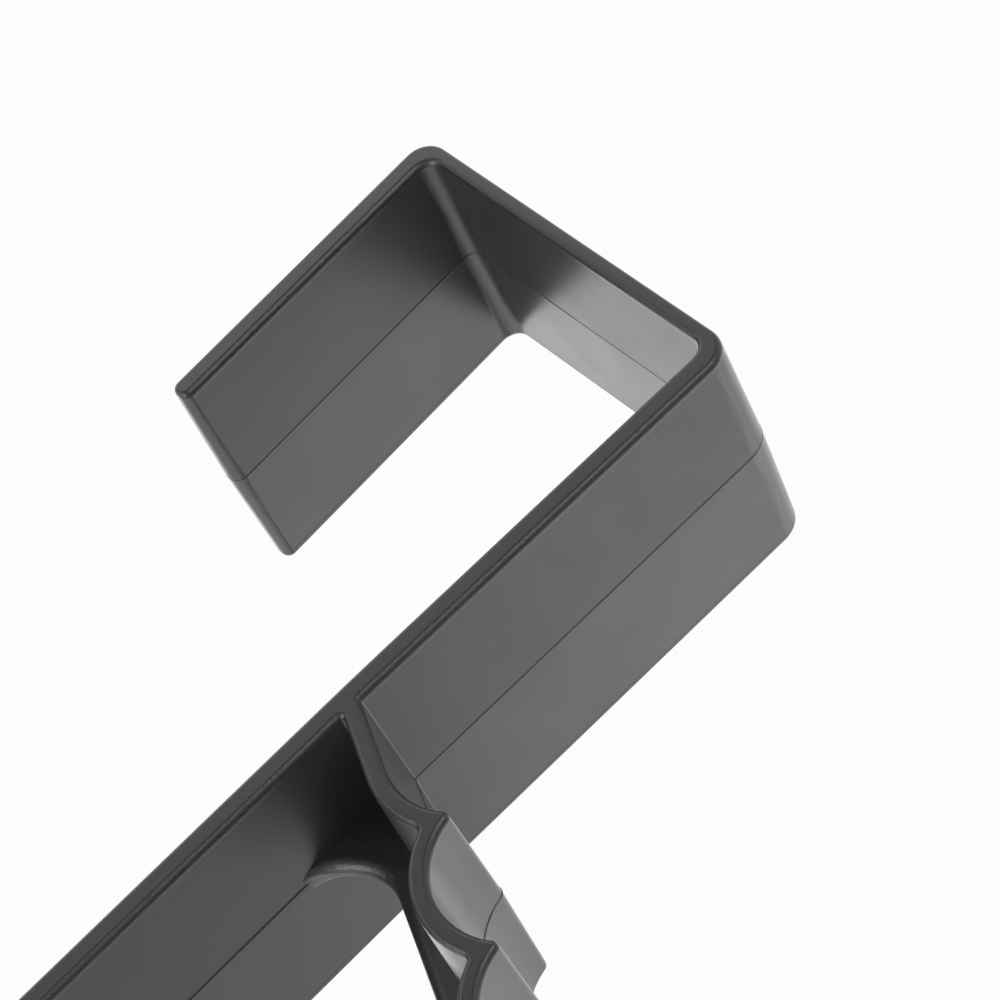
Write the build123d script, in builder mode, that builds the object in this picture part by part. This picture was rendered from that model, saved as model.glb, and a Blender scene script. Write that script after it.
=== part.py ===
# Over-door hook for clothes hangers, moulded in one piece of black plastic.
# A clip of three walls straps over the top of a door. A wavy arm steps out and
# down from the front plate, with a row of round seats, one for each hanger, and
# a web under its middle stiffens it. Below the arm the plate leans out a little.
# The mould parts at mid width, so every wall is thickest there and drafts to both
# rims.
#
# Frame, in millimetres: the origin is under the bridge, where it sits on the
# door's top edge, at mid width and half way through the door. +Z is up, the arm
# points to -Y and X runs along the door's top edge.

import os
from math import cos, radians, sin, sqrt, tan

from build123d import *

# Moulding, with all walls measured on the parting plane
width = 31.5
draft_angle = 1.0
rim_bevel = 0.6

# Clip round the door
door_slot = 45.0
bridge_wall = 2.4
plate_wall = 3.2
plate_drop = 105.0
skirt_lean = 0.9
skirt_round = 400.0
leg_wall = 3.2
leg_drop = 38.4
leg_lean = 3.6
front_corner = 3.8
back_corner = 3.2
inner_corner = 1.7
end_round = 1.3

# Arm: a ramp from the plate, then the seats at an even pitch
arm_drop = 50.0
arm_slope = 22.5
arm_wall = 2.7
arm_root_round = 0.8
ramp_run = 9.0
seats = 5
seat_pitch = 15.4
seat_depth = 5.04
tip_round = 0.95
fold_round = 0.4
last_lip_sweep = 60.0
last_lip_round = 1.2

# Web under the middle of the arm
web_wall = 2.8
web_depth = 3.0
web_root_round = 6.75
web_end_sweep = 45.0
web_end_round = 6.0
web_edge_round = 0.5
web_bury = 0.1

# Places on the side view, as Y and Z
half_slot = door_slot / 2
plate_back = -half_slot
plate_front = plate_back - plate_wall
lean = tan(radians(leg_lean))
skirt_out = (plate_drop - arm_drop) * tan(radians(skirt_lean))
arm_root = (plate_front, -arm_drop)
arm_turn = 180 + arm_slope

# Places along the arm, as x outwards along the ramp and y down from its top face. Each seat is
# the arc through its lowest point and the two sharp tips beside it.
half_pitch = seat_pitch / 2
seat_radius = (half_pitch**2 + seat_depth**2) / (2 * seat_depth)
seat_centres = [(ramp_run + i * seat_pitch, -seat_radius) for i in range(seats)]
last_seat_x = seat_centres[-1][0]
underside_radius = seat_radius + arm_wall
middle_radius = seat_radius + arm_wall / 2
web_edge_y = arm_wall + web_depth
arm_reach = last_seat_x + underside_radius
gusset_run = web_root_round / tan(radians(90 - arm_slope - skirt_lean) / 2)
foot_reach = web_edge_y + 2 * gusset_run


def crossing(radius):
    """Depth at which neighbouring circles of this radius cross, below the ramp's top face."""
    return sqrt(radius**2 - half_pitch**2) - seat_radius


def at_level(sketch, level):
    """The vertices of a sketch that lie at one level of its second axis."""
    near = 0.01
    return sketch.vertices().filter_by_position(Axis.Y, level - near, level + near)


def seat_point(radius, sweep):
    """Point on a circle round the last seat, swept outwards from straight down."""
    turn = radians(sweep)
    return (last_seat_x + radius * sin(turn), radius * cos(turn) - seat_radius)


def below_arm_root(depth):
    """Place by the plate's front face where a line at this depth under the ramp's top face leaves it."""
    return (plate_front, -arm_drop - depth / cos(radians(arm_slope)))


# The web's end rises along a line that is tangent to the last seat's underside
rise_start = seat_point(underside_radius, web_end_sweep)
web_end = (rise_start[0] - (web_edge_y - rise_start[1]) / tan(radians(web_end_sweep)), web_edge_y)

# Wavy strip of the arm: even thickness, round seats, rounded tips between them
with BuildSketch() as strip:
    with Locations(*seat_centres):
        Circle(underside_radius)
    with Locations(*seat_centres):
        Circle(seat_radius, mode=Mode.SUBTRACT)
    # only the lower half of the circles, outwards of the ramp, up to the end of the last lip
    with Locations((ramp_run, -seat_radius)):
        Rectangle(2 * arm_reach, arm_reach, align=(Align.CENTER, Align.MAX), mode=Mode.SUBTRACT)
        Rectangle(arm_reach, arm_reach, align=(Align.MAX, Align.MIN), mode=Mode.SUBTRACT)
    with Locations(Location((last_seat_x, -seat_radius, 0), (0, 0, 90 - last_lip_sweep))):
        Rectangle(arm_reach, arm_reach, align=(Align.MIN, Align.MAX), mode=Mode.SUBTRACT)
    for radius in (seat_radius, underside_radius):
        fillet(at_level(strip, seat_point(radius, last_lip_sweep)[1]), last_lip_round)
    fillet(at_level(strip, crossing(seat_radius)), tip_round)
    fillet(at_level(strip, crossing(underside_radius)), fold_round)
    # the ramp starts inside the plate
    with Locations((ramp_run, 0)):
        Rectangle(ramp_run + plate_wall / 2, arm_wall, align=(Align.MAX, Align.MIN))

# One half of the walls: clip and arm in one outline, drafted from the parting plane to the rim,
# which is bevelled all along
with BuildPart() as walls:
    with BuildSketch(Plane.YZ) as side_view:
        with BuildLine():
            Polyline(
                (plate_back, -arm_drop),
                (plate_back - skirt_out, -plate_drop),
                (plate_front - skirt_out, -plate_drop),
                arm_root,
                (plate_front, bridge_wall),
                (half_slot + leg_wall + bridge_wall * lean, bridge_wall),
                (half_slot + leg_wall - leg_drop * lean, -leg_drop),
                (half_slot - leg_drop * lean, -leg_drop),
                (half_slot, 0),
                (plate_back, 0),
                close=True,
            )
        make_face()
        fillet(at_level(side_view, -plate_drop), end_round)
        fillet(at_level(side_view, -leg_drop), end_round)
        fillet(at_level(side_view, 0), inner_corner)
        fillet(at_level(side_view, bridge_wall).sort_by(Axis.X)[-1], back_corner)
        fillet(at_level(side_view, bridge_wall).sort_by(Axis.X)[0], front_corner)
        fillet(at_level(side_view, -arm_drop).sort_by(Axis.X)[-1], skirt_round)
        with Locations(arm_root):
            add(strip.sketch, rotation=arm_turn)
        for depth in (0, arm_wall):
            fillet(side_view.vertices().sort_by_distance(below_arm_root(depth))[0], arm_root_round)
    extrude(amount=width / 2)
    draft(walls.faces().filter_by(Axis.X, reverse=True), Plane.YZ, draft_angle)
    rim = walls.faces().sort_by(Axis.X)[-1]
    chamfer(rim.edges(), rim_bevel)

# Web panel in the arm's own plane, from inside the strip down to a straight edge along the arm
with BuildSketch() as panel:
    with BuildLine():
        Polyline(
            (0, arm_wall / 2),
            (ramp_run, arm_wall / 2),
            (ramp_run, crossing(middle_radius)),
            (last_seat_x, crossing(middle_radius)),
            seat_point(middle_radius, web_end_sweep),
            rise_start,
            web_end,
            (0, web_edge_y),
            close=True,
        )
    make_face()
    with Locations(*seat_centres):
        Circle(middle_radius, mode=Mode.SUBTRACT)
    fillet(panel.vertices().sort_by_distance(web_end)[0], web_end_round)

# One half of the web, with a wide concave gusset where its edge runs into the plate
with BuildPart() as web:
    with BuildSketch(Plane.YZ) as web_view:
        with Locations(Location((plate_front + web_bury, -arm_drop, 0), (0, 0, -skirt_lean))):
            Rectangle(plate_wall / 2, foot_reach, align=(Align.MIN, Align.MAX))
        with Locations(arm_root):
            add(panel.sketch, rotation=arm_turn)
        fillet(web_view.vertices().sort_by_distance(below_arm_root(web_edge_y))[0], web_root_round)
    extrude(amount=web_wall / 2)
    face_edges = web.faces().sort_by(Axis.X)[-1].edges()
    free_edges = face_edges.filter_by(lambda edge: not walls.part.solid().is_inside(edge @ 0.5))
    fillet(free_edges, web_edge_round)

# The whole moulding: the two halves are alike
with BuildPart() as hook:
    add(walls.part)
    add(web.part)
    mirror(about=Plane.YZ)

hook.part.label = "hook"
os.makedirs("parts", exist_ok=True)
export_step(hook.part, "parts/hook.step")
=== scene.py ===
from math import acos, cos, pi, radians, sin, tan

import bpy
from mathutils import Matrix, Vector


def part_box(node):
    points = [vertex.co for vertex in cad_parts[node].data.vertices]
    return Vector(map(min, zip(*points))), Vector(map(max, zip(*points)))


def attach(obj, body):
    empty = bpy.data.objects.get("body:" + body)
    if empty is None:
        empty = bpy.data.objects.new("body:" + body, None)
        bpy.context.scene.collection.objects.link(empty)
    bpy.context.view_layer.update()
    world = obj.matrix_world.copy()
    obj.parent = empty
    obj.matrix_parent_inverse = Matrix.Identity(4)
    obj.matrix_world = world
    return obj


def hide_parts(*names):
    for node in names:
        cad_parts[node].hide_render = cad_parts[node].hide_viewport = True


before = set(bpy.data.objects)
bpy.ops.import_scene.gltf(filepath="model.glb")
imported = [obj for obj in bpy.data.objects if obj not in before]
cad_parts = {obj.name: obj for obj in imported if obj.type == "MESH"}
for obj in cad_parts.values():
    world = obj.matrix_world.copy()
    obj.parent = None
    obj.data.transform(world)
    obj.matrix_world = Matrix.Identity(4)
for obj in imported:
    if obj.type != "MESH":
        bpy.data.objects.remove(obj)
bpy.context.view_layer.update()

# The moulding
# The whole hook is one moulding of black plastic, from a mould that parts at mid width. A copy of
# the solid's mesh is worked on here in millimetres, and the sections below give it its fine forms.
mm = 0.001
near = 0.01
weld = 0.002
half_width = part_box("hook")[1].x / mm

moulding = bpy.data.objects.new("moulding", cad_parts["hook"].data.copy())
bpy.context.scene.collection.objects.link(moulding)
bpy.ops.object.select_all(action="DESELECT")
moulding.select_set(True)
bpy.context.view_layer.objects.active = moulding
bpy.ops.mesh.customdata_custom_splitnormals_clear()
moulding.scale = (1 / mm, 1 / mm, 1 / mm)
bpy.ops.object.transform_apply(scale=True)
bpy.ops.object.mode_set(mode="EDIT")
bpy.ops.mesh.select_all(action="SELECT")
bpy.ops.mesh.remove_doubles(threshold=weld)
bpy.ops.object.mode_set(mode="OBJECT")

# The arm's root
# The arm leaves the plate at two inner corners, above and below its wall, which the mould left nearly
# sharp. Each fillet of the solid shrinks towards its corner, which moves in with the draft.
draft_angle = radians(1)
arm_slope = radians(22.5)
upper_root = Vector((0, -25.7, -50.0))
lower_root = Vector((0, -25.745, -52.92))
upper_drift = Vector((0, 1, -(1 - sin(arm_slope)) / cos(arm_slope)))
lower_drift = Vector((0, 1, (1 + sin(arm_slope)) / cos(arm_slope)))
root_reach = 1.8
root_share = 0.25

for vertex in moulding.data.vertices:
    for corner, drift in ((upper_root, upper_drift), (lower_root, lower_drift)):
        offset = vertex.co - corner - drift * abs(vertex.co.x) * tan(draft_angle)
        offset.x = 0
        if offset.length < root_reach:
            vertex.co -= (1 - root_share) * offset

# The web
# It stiffens the arm from below and runs into the plate by a wide gusset, all in the same moulding.
# Its free edge is nearly a full round and the gusset is fuller than an arc, so each vertex of the
# solid's small round moves by the edge's own outward direction at the nearest place.
web_half = 1.4
web_flat = 0.9
web_growth = 2.6
web_reach = 1.0
gusset_foot = -25.96
gusset_end = -38.0
gusset_turn = pi / 2 + arm_slope
gusset_bulge = 0.5
foot_fade = 1.2

mesh = moulding.data


def breadth(face):
    """How far a face of the moulding reaches from the parting plane."""
    return max(abs(mesh.vertices[i].co.x) for i in face.vertices)


wall_corners = set()
edge_out = {}
for face in mesh.polygons:
    if breadth(face) > web_half + near:
        wall_corners.update(face.vertices)
    elif abs(breadth(face) - web_flat) < near:
        for i in face.vertices:
            edge_out[i] = edge_out.get(i, Vector()) + face.normal
edge_places = [(mesh.vertices[i].co.copy(), out.normalized()) for i, out in edge_out.items()]

for vertex in mesh.vertices:
    across = abs(vertex.co.x)
    if across > web_half + near or vertex.index in wall_corners:
        continue
    place, out = min(edge_places, key=lambda edge: (edge[0] - vertex.co).yz.length)
    depth = (place - vertex.co).dot(out)
    if (place - vertex.co).yz.length > web_reach or depth > web_half - web_flat + near:
        continue
    off_foot = min(max((gusset_foot - place.y) / foot_fade, 0), 1)
    growth = 1 + (web_growth - 1) * off_foot
    vertex.co -= (growth - 1) * depth * out
    if gusset_end < place.y < gusset_foot:
        sweep = min(acos(-out.y) / gusset_turn, 1)
        vertex.co += gusset_bulge * sin(pi * sweep) ** 2 * out
    if across > web_flat - near:
        vertex.co.x *= (web_half - growth * (web_half - across)) / across

# The rims
# Both sides of the moulding end in a rim that is rounded all along. The solid's flats and bevels come
# off, the walls are cut back a little, then drawn out again in steps that pull further in, and closed.
rim_bevel = 0.6
rim_depth = 0.85
rim_inset = 0.65
rim_steps = 6


def pick(part, chosen):
    """Selects the vertices, edges or faces of the moulding that are chosen by their X places."""
    bpy.ops.object.mode_set(mode="EDIT")
    bpy.ops.mesh.select_mode(type=part)
    bpy.ops.mesh.select_all(action="DESELECT")
    bpy.ops.object.mode_set(mode="OBJECT")
    for piece in {"VERT": mesh.vertices, "EDGE": mesh.edges, "FACE": mesh.polygons}[part]:
        corners = [piece.index] if part == "VERT" else piece.vertices
        piece.select = chosen([mesh.vertices[i].co.x for i in corners])
    bpy.ops.object.mode_set(mode="EDIT")


pick("FACE", lambda xs: abs(sum(xs)) / len(xs) > half_width - rim_bevel + near)
bpy.ops.mesh.delete(type="FACE")
pick("EDGE", lambda xs: min(abs(x) for x in xs) > half_width - rim_bevel - near)
bpy.ops.transform.resize(value=((half_width - rim_depth) / (half_width - rim_bevel), 1, 1))
turns = [radians(90 * step / rim_steps) for step in range(rim_steps + 1)]
reaches = [half_width - rim_depth + rim_depth * sin(turn) for turn in turns]
for step in range(rim_steps):
    bpy.ops.mesh.extrude_edges_indiv()
    bpy.ops.transform.resize(value=(reaches[step + 1] / reaches[step], 1, 1))
    bpy.ops.transform.shrink_fatten(value=rim_inset * (cos(turns[step + 1]) - cos(turns[step])))
for side in (-1, 1):
    pick("EDGE", lambda xs: min(side * x for x in xs) > half_width - near)
    bpy.ops.mesh.edge_face_add()

# The parting ridge
# A fine ridge runs round the hook where the two halves of the mould met. It is cut free on both sides
# and raised, more so on the plate below the gusset, on the arm's upper faces and along the web's edge.
ridge_half_width = 0.2
ridge_height = 0.035
cut_snap = 0.001
skirt_ridge = 0.04
skirt_top = -65.2
skirt_middle = -25.5
skirt_front = -28.0
arm_ridge = 0.05
arm_end = -95.0
arm_up = 0.4
web_ridge = 0.04
web_start = 4.0
under_arm = Vector((0, sin(arm_slope), -cos(arm_slope)))
smooth_angle = radians(30)

for side in (-1, 1):
    bpy.ops.mesh.select_all(action="SELECT")
    cut_place = (side * ridge_half_width, 0, 0)
    bpy.ops.mesh.bisect(plane_co=cut_place, plane_no=(1, 0, 0), threshold=cut_snap)
pick("VERT", lambda xs: abs(xs[0]) < near)
bpy.ops.transform.shrink_fatten(value=ridge_height)
bpy.ops.object.mode_set(mode="OBJECT")
for vertex in moulding.data.vertices:
    if abs(vertex.co.x) >= near:
        continue
    if vertex.co.z < skirt_top and skirt_front < vertex.co.y < skirt_middle:
        vertex.co.y -= skirt_ridge
    if arm_end < vertex.co.y < upper_root.y - near and vertex.normal.z > arm_up:
        vertex.co += arm_ridge * vertex.normal
    if vertex.co.y < gusset_foot and (vertex.co - upper_root).dot(under_arm) > web_start:
        vertex.co += web_ridge * vertex.normal
pick("EDGE", lambda xs: max(xs) - min(xs) < near and abs(xs[0]) < ridge_half_width + near)
bpy.ops.mesh.mark_sharp()

# Flat faces keep their shading flat, beside the rounds too
bpy.ops.object.mode_set(mode="OBJECT")
bpy.ops.object.shade_smooth_by_angle(angle=smooth_angle, keep_sharp_edges=True)
shading = moulding.modifiers.new("flats", "WEIGHTED_NORMAL")
shading.mode = "FACE_AREA"
shading.keep_sharp = True
bpy.ops.object.modifier_apply(modifier="flats")
moulding.scale = (mm, mm, mm)
bpy.ops.object.transform_apply(scale=True)

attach(moulding, "root")
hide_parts("hook")

# The plastic
# It is black and satin, coloured through, with faint cloudy patches where the shine varies. A fine
# grain shows on the rims' rounds and on the web, and the parting ridge is rough.
plastic_ior = 1.5
tint_dark = (0.0145, 0.0145, 0.015, 1)
tint_light = (0.0195, 0.0195, 0.02, 1)
cloud_size = 9 * mm
cloud_detail = 4.0
cloud_low, cloud_high = 0.3, 0.7
roughness_low, roughness_high = 0.31, 0.355
ridge_roughness = 0.55
ridge_band = 0.08 * mm
ridge_core = 0.6 * ridge_band
grain_size = 0.2 * mm
grain_height = 0.045 * mm
grain_detail = 2.0
grain_on_flats = 0.05
round_start, round_full = (half_width - 1.2) * mm, (half_width - 0.7) * mm
flat_start, flat_full = (half_width - 0.06) * mm, (half_width - 0.01) * mm
web_top = (upper_root.dot(under_arm) + web_start) * mm
web_full = web_top + 0.5 * mm
web_root, web_clear = -26.7 * mm, -27.2 * mm
web_side, web_out = web_half * mm, 1.6 * mm

plastic = bpy.data.materials.new("black_moulded_plastic")
plastic.use_nodes = True
tree = plastic.node_tree
shader = tree.nodes["Principled BSDF"]
shader.inputs["IOR"].default_value = plastic_ior


def add_node(kind, links=(), **values):
    """A node with its sockets set by name or number, each to a value or to the output that feeds it."""
    node = tree.nodes.new(kind)
    for name, value in values.items():
        setattr(node, name, value)
    for name, source in links:
        if isinstance(source, bpy.types.NodeSocket):
            tree.links.new(source, node.inputs[name])
        else:
            node.inputs[name].default_value = source
    return node


def ramp(source, start, end, low, high):
    """A value that runs from low to high while the source runs from start to end."""
    span = [("From Min", start), ("From Max", end), ("To Min", low), ("To Max", high)]
    return add_node("ShaderNodeMapRange", [("Value", source)] + span).outputs[0]


def join(operation, first, second):
    """Two values joined by one step of arithmetic."""
    return add_node("ShaderNodeMath", [(0, first), (1, second)], operation=operation).outputs[0]


def noise(size, detail):
    """A noise pattern whose features have this size."""
    links = [("Vector", surface), ("Scale", 1 / size), ("Detail", detail)]
    return add_node("ShaderNodeTexNoise", links).outputs["Fac"]


surface = add_node("ShaderNodeTexCoord").outputs["Object"]
grain = noise(grain_size, grain_detail)
clouds = noise(cloud_size, cloud_detail)
axes = add_node("ShaderNodeSeparateXYZ", [("Vector", surface)])
off_ridge = add_node("ShaderNodeMath", [(0, axes.outputs["X"])], operation="ABSOLUTE").outputs[0]

# The grain's share: on the rims' rounds but not on their flats, and on the web below the arm
on_round = ramp(off_ridge, round_start, round_full, grain_on_flats, 1.0)
off_flat = ramp(off_ridge, flat_start, flat_full, 1.0, grain_on_flats)
down = add_node("ShaderNodeVectorMath", [(0, surface), (1, under_arm)], operation="DOT_PRODUCT")
below_arm = ramp(down.outputs["Value"], web_top, web_full, 0.0, 1.0)
off_plate = ramp(axes.outputs["Y"], web_clear, web_root, 1.0, 0.0)
in_web = ramp(off_ridge, web_side, web_out, 1.0, 0.0)
on_web = join("MULTIPLY", join("MULTIPLY", below_arm, off_plate), in_web)
grain_share = join("MAXIMUM", join("MINIMUM", on_round, off_flat), on_web)
relief = join("MULTIPLY", grain, grain_share)
bump = add_node("ShaderNodeBump", [("Height", relief), ("Distance", grain_height)])

on_ridge = ramp(off_ridge, ridge_core, ridge_band, 1.0, 0.0)
shine = ramp(clouds, cloud_low, cloud_high, roughness_low, roughness_high)
roughness = add_node(
    "ShaderNodeMix", [("Factor", on_ridge), ("A", shine), ("B", ridge_roughness)], data_type="FLOAT"
)
# a mix of colours has its own two sockets and output, after those for numbers and vectors
colour_a, colour_b, colour_out = 6, 7, 2
tint = add_node(
    "ShaderNodeMix",
    [("Factor", clouds), (colour_a, tint_dark), (colour_b, tint_light)],
    data_type="RGBA",
)
tree.links.new(tint.outputs[colour_out], shader.inputs["Base Color"])
tree.links.new(roughness.outputs[0], shader.inputs["Roughness"])
tree.links.new(bump.outputs["Normal"], shader.inputs["Normal"])

moulding.data.materials.clear()
moulding.data.materials.append(plastic)

# The studio
# A pale floor lies far below, as under a door, and the room around is white. Seven soft boxes stand
# round the hook, each where one set of its faces mirrors it, and a card shades the camera's side.
floor_drop = 0.75
floor_side = 12.0
floor_tone = 0.9
room_tone = 0.975
paint_roughness = 0.9
target = Vector((0, -0.005, -0.030))

world = bpy.data.worlds.new("white_room")
bpy.context.scene.world = world
world.use_nodes = True
world.node_tree.nodes["Background"].inputs["Color"].default_value = (1, 1, 1, 1)
world.node_tree.nodes["Background"].inputs["Strength"].default_value = room_tone


def matt_paint(name, tone):
    """A plain matt grey."""
    paint = bpy.data.materials.new(name)
    paint.use_nodes = True
    sockets = paint.node_tree.nodes["Principled BSDF"].inputs
    sockets["Base Color"].default_value = (tone, tone, tone, 1)
    sockets["Roughness"].default_value = paint_roughness
    return paint


bpy.ops.object.select_all(action="DESELECT")
bpy.ops.mesh.primitive_plane_add(size=floor_side, location=(0, 0, -floor_drop))
floor = bpy.context.object
floor.name = "floor"
floor.data.materials.append(matt_paint("pale_floor", floor_tone))


def soft_box(name, turn, rise, spread, brightness, distance=1.4):
    """A rectangular light that faces the hook; its bearing and its spread are in degrees."""
    size = [2 * distance * tan(radians(angle / 2)) for angle in spread]
    turn, rise = radians(turn), radians(rise)
    bearing = Vector((cos(turn) * cos(rise), sin(turn) * cos(rise), sin(rise)))
    lamp = bpy.data.lights.new(name, "AREA")
    lamp.shape = "RECTANGLE"
    lamp.size, lamp.size_y = size
    lamp.energy = brightness * pi * size[0] * size[1]
    box = bpy.data.objects.new(name, lamp)
    box.location = target + distance * bearing
    box.rotation_euler = bearing.to_track_quat("Z", "Y").to_euler()
    box.visible_camera = False
    bpy.context.scene.collection.objects.link(box)


soft_box("soft_box_right", turn=326, rise=22, spread=(28, 32), brightness=1.7)
soft_box("soft_box_camera", turn=220, rise=21, spread=(46, 30), brightness=3.2)
soft_box("soft_box_back", turn=108, rise=10, spread=(60, 50), brightness=1.2)
soft_box("soft_box_high", turn=8, rise=36, spread=(46, 30), brightness=0.75)
soft_box("soft_box_low_right", turn=344, rise=-26, spread=(58, 36), brightness=1.0, distance=0.8)
soft_box("soft_box_low_back", turn=40, rise=-11, spread=(50, 19), brightness=1.2)
soft_box("soft_box_below", turn=218, rise=-75, spread=(40, 18), brightness=7.0, distance=0.6)

# The card is a part of an open tube that stands on the floor
card_radius = 1.8
card_height = 2.6
card_facets = 72
card_tone = 0.4
card_start, card_end = 145, 313
bpy.ops.object.select_all(action="DESELECT")
bpy.ops.mesh.primitive_cylinder_add(
    vertices=card_facets,
    radius=card_radius,
    depth=card_height,
    end_fill_type="NOTHING",
    location=(0, 0, card_height / 2 - floor_drop),
)
card = bpy.context.object
card.name = "dark_card"
bpy.ops.object.mode_set(mode="EDIT")
bpy.ops.mesh.select_mode(type="FACE")
bpy.ops.mesh.select_all(action="DESELECT")
bpy.ops.object.mode_set(mode="OBJECT")
middle = radians((card_start + card_end) / 2)
limit = cos(radians((card_end - card_start) / 2))
for face in card.data.polygons:
    outwards = Vector((face.center.x, face.center.y)).normalized()
    face.select = outwards.dot((cos(middle), sin(middle))) < limit
bpy.ops.object.mode_set(mode="EDIT")
bpy.ops.mesh.delete(type="FACE")
bpy.ops.object.mode_set(mode="OBJECT")
card.data.materials.append(matt_paint("dark_card", card_tone))
card.visible_camera = False

# The camera
# It looks up at the hook from the left front, close by, and is rolled so that the door's top
# edge runs steeply across the picture.
camera_place = (-0.2644, -0.2201, -0.0920)
camera_turn = (106.895, -45.627, -63.349)
camera = bpy.data.cameras.new("camera")
camera.sensor_width = 36
camera.lens = 117.5
camera_object = bpy.data.objects.new("camera", camera)
camera_object.location = camera_place
camera_object.rotation_euler = [radians(angle) for angle in camera_turn]
bpy.context.scene.collection.objects.link(camera_object)
bpy.context.scene.camera = camera_object

bpy.context.scene.view_settings.view_transform = "Standard"
